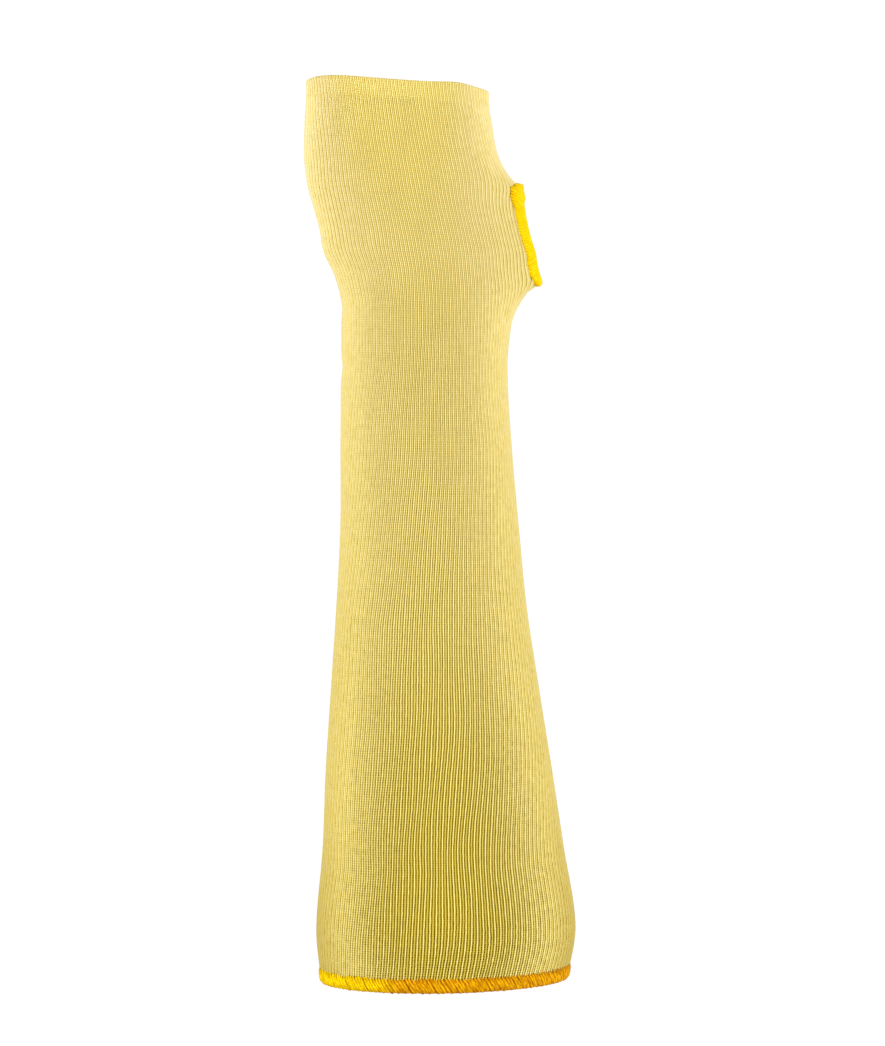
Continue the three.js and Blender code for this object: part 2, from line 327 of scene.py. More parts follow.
    def _find_slot_half_angle(self) -> float:
        """Half the angle that the open slot takes at mid height, found from its gape."""
        angles = np.linspace(0.0, TURN / 4, 2000)
        middle = self.slot.at(0.5)
        across = self.tube(angles, np.full_like(angles, middle))[:, 1]
        return float(np.interp(self.slot_gape / 2, across, angles))

    def parting(self, angle: Array, height: float, side: Array) -> Array:
        """How far the open slot pushes the fabric beside it round the tube.

        The push is the opening of a slit in a stretched sheet: all of the gape at the slit, less beyond it.

        Args:
            angle: angles from the slit, before it opens.
            height: height over the arm opening.
            side: above 0 where a point on the slit belongs to its back lip, and below 0 to its front lip.

        Returns:
            The angles to add.
        """
        turned = signed(angle)
        half_length = self.slot_length / 2
        beside = np.abs(turned) / self.slot_parting_angle
        level = (abs(height - self.slot.at(0.5)) / half_length) ** (self.slot_squareness / 2)
        real = beside * beside - level * level + 1
        size = np.hypot(real, 2 * beside * level)
        opened = np.sqrt(np.clip((size + real) / 2, 0.0, None)) - beside
        fading = (1 - np.abs(turned) / (TURN / 2)) ** 2
        lip = np.where(np.abs(turned) < 1e-9, np.sign(side), np.sign(turned))
        return self.slot_half_angle * opened * fading * lip


@dataclass
class WaleField:
    """The run of the stitch columns over the sleeve.

    They are spaced almost evenly round each section, a little wider at its two sides, and drift sideways as the
    loose knit twists on the arm. Tilts gives, at shares of the length, the degrees by which the wales at the
    middle of the front lean as they run down to the left. Spreads gives, at shares of the length, how much wider
    than evenly they lie at the front. Each wave is its turns round the sleeve, its turns up it and its shift.
    """

    form: SleeveForm
    wales: int = 120
    side_widening: float = 0.1
    drift_power: float = 6.0
    samples: int = 1440
    tilts: tuple[Pair, ...] = (
        (0.0, 9.0), (0.037, 4.5), (0.07, 2.6), (0.104, 2.3), (0.138, 0.8), (0.171, 5.6), (0.205, 6.3),
        (0.239, 5.3), (0.272, 4.0), (0.306, 1.2), (0.34, 1.2), (0.37, 0.6), (0.407, 2.6), (0.45, 3.5),
        (0.5, 3.7), (0.542, 4.6), (0.576, 2.8), (0.61, 0.4), (0.65, 2.6), (0.7, 2.8), (0.744, 0.4),
        (0.778, 1.0), (0.812, -8.4), (0.846, -12.0), (0.879, -13.0), (0.913, -14.5), (0.947, -11.5),
        (0.98, -9.0), (1.0, -8.0),
    )
    spreads: tuple[Pair, ...] = (
        (0.0, -0.03), (0.13, -0.04), (0.25, 0.06), (0.4, 0.15), (0.47, 0.12), (0.6, 0.08), (0.68, 0.0), (1.0, 0.0),
    )
    wobble: float = 0.00011
    waves: tuple[tuple[float, float, float], ...] = ((7, 5.3, 0.0), (13, -9.1, 0.3))

    def __post_init__(self) -> None:
        """Follows the middle wale of the front up and down from the slot, to find the drift."""
        margin = 0.01
        heights = np.linspace(-margin, self.form.length + margin, 371)
        shares, degrees = np.array(self.tilts).T
        slopes = np.tan(np.radians(np.interp(heights, shares * self.form.length, degrees)))
        steps = np.diff(heights) * (slopes[1:] + slopes[:-1]) / 2
        place = np.concatenate([[0.0], np.cumsum(steps)])
        anchor = self.form.slot.at(0.5)
        place -= np.interp(anchor, heights, place)
        anchor_x = float(self.form.tube(np.array(0.75 * TURN), np.array(anchor))[0])
        anchor_share = self._front_share(anchor, anchor_x)
        drifts = [self._front_share(h, anchor_x + p) - anchor_share for h, p in zip(heights, place)]
        self._drift = (heights, np.array(drifts))

    def _arc(self, height: float) -> tuple[Array, Array, Array]:
        """Walks round the section at one height.

        Args:
            height: height over the arm opening.

        Returns:
            The angles walked, the share of the way round at each, and the sideways place of each.
        """
        angles = np.linspace(0.0, TURN, self.samples + 1)
        points = self.form.tube(angles, np.full_like(angles, height))
        walked = walk(points[:, :2])
        return angles, walked / walked[-1], points[:, 0]

    def _front_share(self, height: float, x: float) -> float:
        """Share of the way round of the front point at a height and a sideways place."""
        _, shares, across = self._arc(height)
        front = slice(self.samples // 2, None)
        return float(np.interp(x, across[front], shares[front]))

    def angles(self, shares: Array, heights: Array) -> Array:
        """Angles of the wales.

        Args:
            shares: share of the wale count for each column, 0 and 1 at the thumb.
            heights: height of each row.

        Returns:
            An array of angles, with a row for each height and a column for each share.
        """
        drift = np.interp(heights, *self._drift)
        hand = np.interp(np.maximum(heights, self.form.slot.foot), *self._drift)
        places, wider = np.array(self.spreads).T
        spreads = np.interp(heights, places * self.form.length, wider)
        side = 0.5 - shares
        inside = 1 - np.abs(2 * side) ** self.drift_power
        rows = []
        for height, whole, kept, spread in zip(heights, drift, hand, spreads):
            walked, arc, _ = self._arc(height)
            level = height / self.form.length
            wave = sum(np.sin(TURN * (about * shares + along * level + shift)) for about, along, shift in self.waves)
            shaken = self.wobble * wave / (TURN * self.form.wrist.width / 2)
            drifted = shares + (whole - kept) + (kept + shaken) * inside
            spaced = drifted + spread / TURN * np.sin(TURN * (drifted - 0.75))
            spaced += self.side_widening / (2 * TURN) * np.sin(2 * TURN * (drifted - 0.5))
            turns = np.floor(spaced)
            angle = np.interp(spaced - turns, arc, walked) + TURN * turns
            rows.append(angle + self.form.parting(angle, height, side))
        return np.array(rows)


# Meshes


class GridPiece:
    """Bmesh grids, moved onto a surface, closed and made an object."""

    @staticmethod
    def stack(name: str, columns: int, rows: int, layers: int = 1) -> tuple[bpy.types.Mesh, Array]:
        """Makes a stack of equal grids.

        Args:
            name: name of the mesh.
            columns: faces across each grid.
            rows: faces up each grid.
            layers: how many grids.

        Returns:
            The mesh, and for each of its vertices the column, the row and the layer.
        """
        bm = bmesh.new()
        for layer in range(layers):
            place = Matrix.Translation((0.5, 0.5, layer))
            bmesh.ops.create_grid(bm, x_segments=columns, y_segments=rows, size=0.5, matrix=place)
        mesh = bpy.data.meshes.new(name)
        bm.to_mesh(mesh)
        bm.free()
        places = np.empty(len(mesh.vertices) * 3)
        mesh.vertices.foreach_get("co", places)
        return mesh, np.rint(places.reshape(-1, 3) * (columns, rows, 1)).astype(int)

    @staticmethod
    def lay(mesh: bpy.types.Mesh, points: Array, uvs: Array) -> None:
        """Moves the mesh's vertices, and gives each corner of a face its vertex's UV.

        Args:
            mesh: the stacked grids.
            points: the new place of each vertex.
            uvs: the UV of each vertex.
        """
        mesh.vertices.foreach_set("co", np.ascontiguousarray(points, dtype=np.float64).ravel())
        corners = np.empty(len(mesh.loops), dtype=np.int32)
        mesh.loops.foreach_get("vertex_index", corners)
        layer = mesh.uv_layers.new(name=UV_NAME)
        layer.data.foreach_set("uv", np.ascontiguousarray(uvs[corners], dtype=np.float32).ravel())
        mesh.update()

    @staticmethod
    def close(mesh: bpy.types.Mesh, bridge: bool = False) -> None:
        """Joins the edges that meet, bridges an open slot and turns the faces outwards.

        Args:
            mesh: the laid mesh.
            bridge: whether two open rims are left, to be joined by a band of faces.
        """
        bm = bmesh.new()
        bm.from_mesh(mesh)
        bmesh.ops.remove_doubles(bm, verts=bm.verts, dist=MERGE_DISTANCE)
        if bridge:
            rims = [edge for edge in bm.edges if edge.is_boundary]
            bmesh.ops.bridge_loops(bm, edges=rims)
        bmesh.ops.recalc_face_normals(bm, faces=bm.faces)
        for face in bm.faces:
            face.smooth = True
        bm.to_mesh(mesh)
        bm.free()

    @staticmethod
    def show(mesh: bpy.types.Mesh, node: str, slot: Slot, material: bpy.types.Material) -> bpy.types.Object:
        """Makes the mesh a piece that stands for a node of the frame.

        Args:
            mesh: the closed mesh.
            node: the node that it stands for.
            slot: the record's material slot; not used.
            material: its finish.

        Returns:
            The piece.
        """
        piece = bpy.data.objects.new(mesh.name, mesh)
        bpy.context.scene.collection.objects.link(piece)
        mesh.materials.append(material)
        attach(piece, BODY)
        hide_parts(node)
        return piece


# Finishes


def colour(red: int, green: int, blue: int) -> Colour:
    """A linear colour from 8-bit display values."""
    shares = [value / 255 for value in (red, green, blue)]
    linear = [s / 12.92 if s <= 0.04045 else ((s + 0.055) / 1.055) ** 2.4 for s in shares]
    return (*linear, 1.0)


class Value:
    """A number socket of a material, with arithmetic that adds Math nodes."""

    def __init__(self, paint: "Paint", socket: bpy.types.NodeSocket) -> None:
        """Keeps the socket and the material's builder."""
        self.paint = paint
        self.socket = socket

    def _math(self, operation: str, *numbers: "Value | float") -> "Value":
        """A Math node on its numbers, in order."""
        return self.paint.value("ShaderNodeMath", {"operation": operation}, dict(enumerate(numbers)))

    def __add__(self, other: "Value | float") -> "Value":
        """Sum."""
        return self._math("ADD", self, other)

    __radd__ = __add__

    def __mul__(self, other: "Value | float") -> "Value":
        """Product."""
        return self._math("MULTIPLY", self, other)

    __rmul__ = __mul__

    def __sub__(self, other: "Value | float") -> "Value":
        """Difference."""
        return self._math("SUBTRACT", self, other)

    def __rsub__(self, other: float) -> "Value":
        """Difference from a number."""
        return self._math("SUBTRACT", other, self)

    def __truediv__(self, other: "Value | float") -> "Value":
        """Quotient."""
        return self._math("DIVIDE", self, other)

    def __abs__(self) -> "Value":
        """Size without sign."""
        return self._math("ABSOLUTE", self)

    def fraction(self) -> "Value":
        """What is left after the whole number."""
        return self._math("FRACT", self)

    def sine(self) -> "Value":
        """Sine of an angle in radians."""
        return self._math("SINE", self)

    def rising(self, low: float, high: float) -> "Value":
        """A soft step from 0 at low to 1 at high."""
        settings = {"interpolation_type": "SMOOTHSTEP"}
        return self.paint.value("ShaderNodeMapRange", settings, {"Value": self, 1: low, 2: high})

    def falling(self, low: float, high: float) -> "Value":
        """A soft step from 1 at low to 0 at high."""
        return 1.0 - self.rising(low, high)

    def triangle(self) -> "Value":
        """Distance from the middle of each whole step, from 0 there to 1 at its ends."""
        return abs(self.fraction() * 2.0 - 1.0)


class Paint:
    """Builds the nodes of a material or a world."""

    def __init__(self, owner: bpy.types.Material | bpy.types.World) -> None:
        """Empties the owner's node tree."""
        owner.use_nodes = True
        self.tree = owner.node_tree
        self.tree.nodes.clear()

    def node(self, kind: str, settings: dict[str, object], inputs: dict[int | str, object]) -> bpy.types.Node:
        """Adds a node.

        Args:
            kind: the node's type.
            settings: its properties, which are set first.
            inputs: for each input socket, a value, a socket or a Value.

        Returns:
            The node.
        """
        made = self.tree.nodes.new(kind)
        for name, setting in settings.items():
            setattr(made, name, setting)
        for key, given in inputs.items():
            socket = given.socket if isinstance(given, Value) else given
            if isinstance(socket, bpy.types.NodeSocket):
                self.tree.links.new(socket, made.inputs[key])
            else:
                made.inputs[key].default_value = socket
        return made

    def value(self, kind: str, settings: dict[str, object], inputs: dict[int | str, object]) -> Value:
        """The first output of a new node, as a number."""
        return Value(self, self.node(kind, settings, inputs).outputs[0])

    def parts(self, vector: bpy.types.NodeSocket) -> list[Value]:
        """The three values of a vector."""
        return [Value(self, part) for part in self.node("ShaderNodeSeparateXYZ", {}, {0: vector}).outputs]

    def stitches(self) -> list[Value]:
        """The two UV values of the piece's own map."""
        return self.parts(self.node("ShaderNodeUVMap", {"uv_map": UV_NAME}, {}).outputs[0])[:2]

    def place(self) -> bpy.types.NodeSocket:
        """The place on the object, in metres."""
        return self.node("ShaderNodeTexCoord", {}, {}).outputs["Object"]

    def joined(self, x: Value, y: Value) -> bpy.types.NodeSocket:
        """A flat vector from its two values."""
        return self.node("ShaderNodeCombineXYZ", {}, {0: x, 1: y}).outputs[0]

    def noise(self, vector: bpy.types.NodeSocket, scale: float, detail: float = 2.0) -> Value:
        """Cloudy values from 0 to 1, mostly near 0.5."""
        return self.value("ShaderNodeTexNoise", {}, {"Vector": vector, "Scale": scale, "Detail": detail})

    def mix(self, share: Value, first: object, second: object) -> bpy.types.NodeSocket:
        """A colour between two colours."""
        return self.node("ShaderNodeMix", {"data_type": "RGBA"}, {0: share, 6: first, 7: second}).outputs[2]

    def surface(self, inputs: dict[str, object], relief: Value, depth: float, strength: float) -> None:
        """Ends the material in a Principled shader with a bump.

        Args:
            inputs: values and links of the shader's sockets.
            relief: the bump's height, from 0 to 1.
            depth: what a height of 1 stands for, in metres.
            strength: how much of the bump shows.
        """
        bump = self.node("ShaderNodeBump", {}, {"Height": relief, "Distance": depth, "Strength": strength})
        shader = self.node("ShaderNodeBsdfPrincipled", {}, {**inputs, "Normal": bump.outputs[0]})
        self.node("ShaderNodeOutputMaterial", {}, {0: shader.outputs[0]})


@dataclass(frozen=True)
class Shades:
    """A colour of the knit at the top and foot, on front and back, and on the two sides, paler with painted sheen.
    """

    top: Colour
    foot: Colour
    side_sheen_top: Colour
    side_sheen_foot: Colour

    def over(self, paint: Paint, descent: Value, side_sheen: Value) -> bpy.types.NodeSocket:
        """The colour over the whole sleeve, with the sides' painted sheen mixed in by its share."""
        side = paint.mix(descent, self.side_sheen_top, self.side_sheen_foot)
        return paint.mix(side_sheen, paint.mix(descent, self.top, self.foot), side)


@dataclass(frozen=True)
class KnitFinish:
    """Plain knit of matt aramid yarn: columns of V stitches with a hole at the foot of each V. Its colour holds
    painted light and shade: a highlight on each leg of a V, shade in the holes and grooves, a paler sheen on the
    sides and part of the darkening towards the foot.

    Pairs are where a soft step starts and ends: the left side of the hand, where highlight and groove shade are
    stronger, by x and by height, the side of the forearm with stronger painted groove shade by x, and the painted
    shade on the rims of its foot by height.
    """

    # Pale is the colour of the painted highlight on each leg of a V, and gold is the yarn between them.
    pale: Shades = Shades(colour(255, 240, 168), colour(248, 232, 138), colour(246, 234, 194), colour(244, 230, 162))
    gold: Shades = Shades(colour(238, 214, 112), colour(198, 170, 36), colour(228, 208, 138), colour(245, 223, 124))
    # Colours of the painted shade in the grooves and valleys, at the top and at the foot.
    groove_shade_top: Colour = colour(190, 162, 64)
    groove_shade_foot: Colour = colour(146, 116, 4)
    # Colours of the painted shade in the holes, at the top and at the foot.
    hole_shade_top: Colour = colour(112, 80, 6)
    hole_shade_foot: Colour = colour(56, 34, 0)
    sheen_tint: Colour = colour(255, 249, 218)
    roughness: float = 0.88
    specular: float = 0.03
    sheen: float = 0.04
    sheen_roughness: float = 0.5
    bump_depth: float = 0.0004
    bump_strength: float = 0.55
    length: float = 0.356
    half_depth: float = 0.048
    half_depth_taper: float = 0.078
    hand_left_x: Pair = (-0.052, -0.032)
    hand_left_heights: Pair = (0.26, 0.31)
    thumb_side_groove_x: Pair = (0.01, 0.04)
    foot_rim_shade_heights: Pair = (0.0, 0.08)
    patch_scale: float = 38.0
    shake_scale: float = 420.0
    uneven_scale: float = 800.0
    fuzz_scale: float = 5200.0
    left_leg_at: float = 0.26
    right_leg_at: float = 0.74

    def material(self) -> bpy.types.Material:
        """Builds the knit's material.

        Returns:
            The material.
        """
        material = bpy.data.materials.new("knit")
        paint = Paint(material)
        wale, course = paint.stitches()
        place = paint.place()
        across, out, up = paint.parts(place)

        # Where on the sleeve a point lies
        frontness = abs(out) / (self.half_depth - self.half_depth_taper * up)
        facing = frontness.rising(0.35, 1.0)
        turned_away = 1.0 - frontness * frontness
        # Share of the painted sheen that makes the sides paler, growing as the surface turns away from the front.
        side_sheen = turned_away.rising(-0.12, 0.55)
        # Share of the way down the sleeve. The knit's colours darken along it, partly as painted shade of light
        # falling off towards the foot.
        descent = (1.0 - up * (1.0 / self.length)).rising(-0.3, 1.0)
        # Left side of the hand, where each leg's painted highlight and the painted shade in the grooves are
        # stronger.
        hand_left = across.falling(*self.hand_left_x) * up.rising(*self.hand_left_heights)
        # Towards the thumb side, lower down, the grooves get more painted shade.
        thumb_side_groove_shade = across.rising(*self.thumb_side_groove_x) * descent
        # Painted shade on the far sides, growing towards the foot, and more of it on the rims at the very foot.
        rim = turned_away.rising(0.6, 1.0) * descent
        foot_rim_shade = turned_away.rising(0.4, 0.8) * up.falling(*self.foot_rim_shade_heights)

        # How the yarn varies
        patches = paint.noise(place, self.patch_scale, 3.0)
        shaken = paint.noise(place, self.shake_scale, 1.0)
        uneven = paint.noise(place, self.uneven_scale, 1.0).rising(0.32, 0.68)
        fuzz = paint.noise(place, self.fuzz_scale, 3.0)
        bands = paint.noise(paint.joined(wale * 0.012, course * 0.4), 1.0).rising(0.35, 0.65)

        # Where in its stitch a point lies
        column = (wale + (shaken - 0.5) * 0.14).fraction()
        level = course + (patches - 0.5) * 0.8
        aside = abs(column * 2.0 - 1.0)
        left_leg = abs(column - self.left_leg_at).falling(0.03, 0.17)
        right_leg = abs(column - self.right_leg_at).falling(0.03, 0.15)
        bead = (level + aside * 0.45).triangle().falling(0.6, 1.0)
        valley = aside.falling(0.06, 0.42)
        groove = aside.rising(0.6, 0.95)
        hole = (valley + groove * 0.9) * level.triangle().falling(0.42, 0.95)

        # What shows there: the yarn's colours with painted highlight and shade laid over them
        # How much of the holes' painted shade shows: more towards the foot, where the knit is stretched open, less
        # at the sides.
        openness = (descent * 0.8 + 0.3) * (0.7 + 0.3 * uneven) * (0.15 + 0.85 * facing)
        # Painted highlight on each leg of a V, strongest on the left leg, as light from the left would make it.
        leg_highlight = left_leg * (0.72 + 0.28 * bead) + right_leg * 0.3 * bead
        # Painted shade in the grooves between wales, stronger towards the sides, and in the valleys within them.
        groove_shade = groove * (0.72 - 0.27 * facing + 0.35 * hand_left + 0.3 * thumb_side_groove_shade)
        shadow = groove_shade + valley * 0.35 * facing + rim * 0.35 + foot_rim_shade * 0.22
        pale = self.pale.over(paint, descent, side_sheen * 0.8)
        gold = self.gold.over(paint, descent, side_sheen * 0.6)
        body = paint.mix(leg_highlight * (1.0 - bands * 0.12 + hand_left * 0.3), gold, pale)
        # The painted shade laid over the yarn's colours.
        lined = paint.mix(shadow, body, paint.mix(descent, self.groove_shade_top, self.groove_shade_foot))
        # Painted shade in the holes at the foot of each V.
        painted = paint.mix(hole * openness, lined, paint.mix(descent, self.hole_shade_top, self.hole_shade_foot))
        relief = bead * 0.25 * (1.0 - groove) + fuzz * 0.25 + (1.0 - hole) * 0.5
        sockets = {
            "Base Color": painted,
            "Roughness": self.roughness,
            "Specular IOR Level": self.specular,
            "Sheen Weight": self.sheen,
            "Sheen Roughness": self.sheen_roughness,
            "Sheen Tint": self.sheen_tint,
        }
        paint.surface(sockets, relief, self.bump_depth, self.bump_strength)
        return material


@dataclass(frozen=True)
class ThreadFinish:
    """Soft textured overlock thread: lighter along each strand's crown, with painted shade on its flanks and in the
    gaps between strands.

    Left holds the crown's colour and the flanks' shade colour at the left, with left_side as the soft step to them
    by x.
    Lower strands carry more painted shade, with shade_heights as the soft step by height.
    """

    name: str
    # The crown's colour, then the colours of the painted shade on the flanks and in the gaps.
    crown: Colour
    flank_shade: Colour
    gap_shade: Colour
    left: tuple[Colour, Colour] | None = None
    left_side: Pair = (0.0, 1.0)
    shade_heights: Pair | None = None
    roughness: float = 0.8
    specular: float = 0.04
    bump_depth: float = 0.00025
    bump_strength: float = 0.7
    patch_scale: float = 260.0
    tuft_scale: float = 1500.0
    fuzz_scale: float = 4200.0
    left_unevenness: float = 0.012

    def material(self) -> bpy.types.Material:
        """Builds the thread's material.

        Returns:
            The material.
        """
        material = bpy.data.materials.new(self.name)
        paint = Paint(material)
        round_strand, along = paint.stitches()
        place = paint.place()
        across, _, up = paint.parts(place)
        patches = paint.noise(place, self.patch_scale)
        tufts = paint.noise(place, self.tuft_scale).rising(0.36, 0.64)
        fuzz = paint.noise(place, self.fuzz_scale, 3.0)
        # Share of the painted shade on each strand's flanks: none on its crown.
        low = round_strand.triangle().rising(0.03, 0.26)
        fibres = paint.noise(paint.joined(round_strand * 9.0, along * 5.0), 1.0).rising(0.4, 0.6)
        twist = ((round_strand * 2.0 + along * 9.0) * TURN).sine() * 0.5 + 0.5
        crown, flank_shade = self.crown, self.flank_shade
        if self.left:
            leftness = (across + (patches - 0.5) * self.left_unevenness).falling(*self.left_side)
            crown, flank_shade = paint.mix(leftness, crown, self.left[0]), paint.mix(leftness, flank_shade, self.left[1])
        # Painted shade on the lower strands.
        under = up.falling(*self.shade_heights) * 0.2 if self.shade_heights else 0.0
        # The flanks' painted shade laid over the crown's colour, more on the flanks and on the lower strands.
        body = paint.mix(low * 0.3 + patches.rising(0.4, 0.75) * 0.2 + fibres * 0.6 + under, crown, flank_shade)
        # Painted shade of the gaps, over the flanks, on the lower strands and in the fibre tufts.
        painted = paint.mix(low.rising(0.35, 1.0) * 0.25 + tufts * fibres * 0.3 + under, body, self.gap_shade)
        relief = twist * 0.2 + fibres * 0.4 + fuzz * 0.4
        sockets = {"Base Color": painted, "Roughness": self.roughness, "Specular IOR Level": self.specular}
        paint.surface(sockets, relief, self.bump_depth, self.bump_strength)
        return material


# Pieces of the sleeve


@dataclass
class KnitSleeve:
    """The knitted tube from the arm opening to the hand opening, with its welt and its thumb slot."""

    form: SleeveForm
    field: WaleField
    columns_per_wale: int = 4
    outer_rows: tuple[int, ...] = (86, 12, 22, 13, 5)
    inner_rows: tuple[int, ...] = (13, 5, 22, 5, 2)
    top_rim_rows: int = 4
    foot_rim_rows: int = 3
    wale_relief: float = 0.00029
    welt_relief: float = 0.6
    inner_relief: float = 0.0001
    ridge: float = 0.35
    legs_ridge: float = 0.8
    course_height: float = 0.00093
    flat_width: float = 0.21
    finish: KnitFinish = KnitFinish()

    def _face_heights(self, counts: tuple[int, ...]) -> Array:
        """Heights of the rows of one face, from just over the foot to just under the top rim.

        Args:
            counts: rows of the forearm, the thumb root, the slot, the knuckles and the welt.

        Returns:
            The heights. They crowd towards both ends of the slot.
        """
        form = self.form
        edge = form.thickness / 2
        evenly = np.linspace(0.0, 1.0, 201)
        crowded = (1 - np.cos(math.pi * evenly)) / 2
        first, last = Zone(edge, form.forearm.head), Zone(form.welt.foot, form.length - edge)
        heights = [edge]
        for zone, count in zip((first, form.thumb_root, form.slot, form.knuckles, last), counts):
            spacing = crowded if zone is form.slot else evenly
            heights.extend(zone.at(np.interp(np.arange(1, count + 1) / count, evenly, spacing)))
        return np.array(heights)

    def _profile(self) -> list[Array]:
        """The closed line that the rows follow: up the outer face, over the rim, down inside and back.

        Returns:
            The height, the offset from the outer face and the relief's depth of each row.
        """
        radius = self.form.thickness / 2
        outer, inner = self._face_heights(self.outer_rows), self._face_heights(self.inner_rows)[::-1]
        over = math.pi * np.arange(1, self.top_rim_rows) / self.top_rim_rows
        under = math.pi * np.arange(1, self.foot_rim_rows) / self.foot_rim_rows
        outside = self.wale_relief * np.where(outer > self.form.welt.foot, self.welt_relief, 1.0)
        runs = (
            (outer, 0.0, outside),
            (outer[-1] + radius * np.sin(over), radius * (np.cos(over) - 1), self.inner_relief),
            (inner, -2 * radius, self.inner_relief),
            (radius * (1 - np.sin(under)), -radius * (np.cos(under) + 1), self.inner_relief),
            (outer[:1], 0.0, outside[:1]),
        )
        return [np.concatenate([np.broadcast_to(run[k], run[0].shape) for run in runs]) for k in range(3)]

    def build(self) -> bpy.types.Object:
        """Builds the tube as one closed mesh.

        Returns:
            The piece.
        """
        heights, offsets, reliefs = self._profile()
        columns = self.field.wales * self.columns_per_wale
        shares = np.arange(columns + 1) / columns
        phase = (np.arange(columns + 1) % self.columns_per_wale) / self.columns_per_wale
        ridges = -np.cos(2 * TURN * phase) * self.legs_ridge - np.cos(TURN * phase) * self.ridge
        angles = self.field.angles(shares, heights)
        raised = offsets[:, None] + reliefs[:, None] * ridges[None, :]
        inside = self.form.welt_rise(heights) * np.where(offsets < -self.form.thickness * 0.99, 1.0, 0.0)
        points = self.form.skin(angles, heights[:, None], raised - inside[:, None])
        path = walk(np.stack([heights, offsets], axis=-1))
        mesh, place = GridPiece.stack("knit_tube", columns, len(heights) - 1)
        column, row = place[:, 0], place[:, 1]
        uvs = np.stack([shares[column] * self.field.wales, path[row] / self.course_height], axis=-1)
        GridPiece.lay(mesh, points[row, column], uvs)
        GridPiece.close(mesh, bridge=True)
        return GridPiece.show(mesh, "knit_sleeve", Slot.KNIT, self.finish.material())


@dataclass(frozen=True)
class EdgeEnd:
    """Where the binding is bulkier at its outer border and reaches less far, at a share of the way along."""

    at: float
    span: float
    bulk: float
    shortening: float

    def nearness(self, share: Array) -> Array:
        """Nearness to the end, from 0 to 1."""
        away = np.mod(share - self.at + 0.5, 1.0) - 0.5
        return np.exp(-((away / self.span) ** 2))


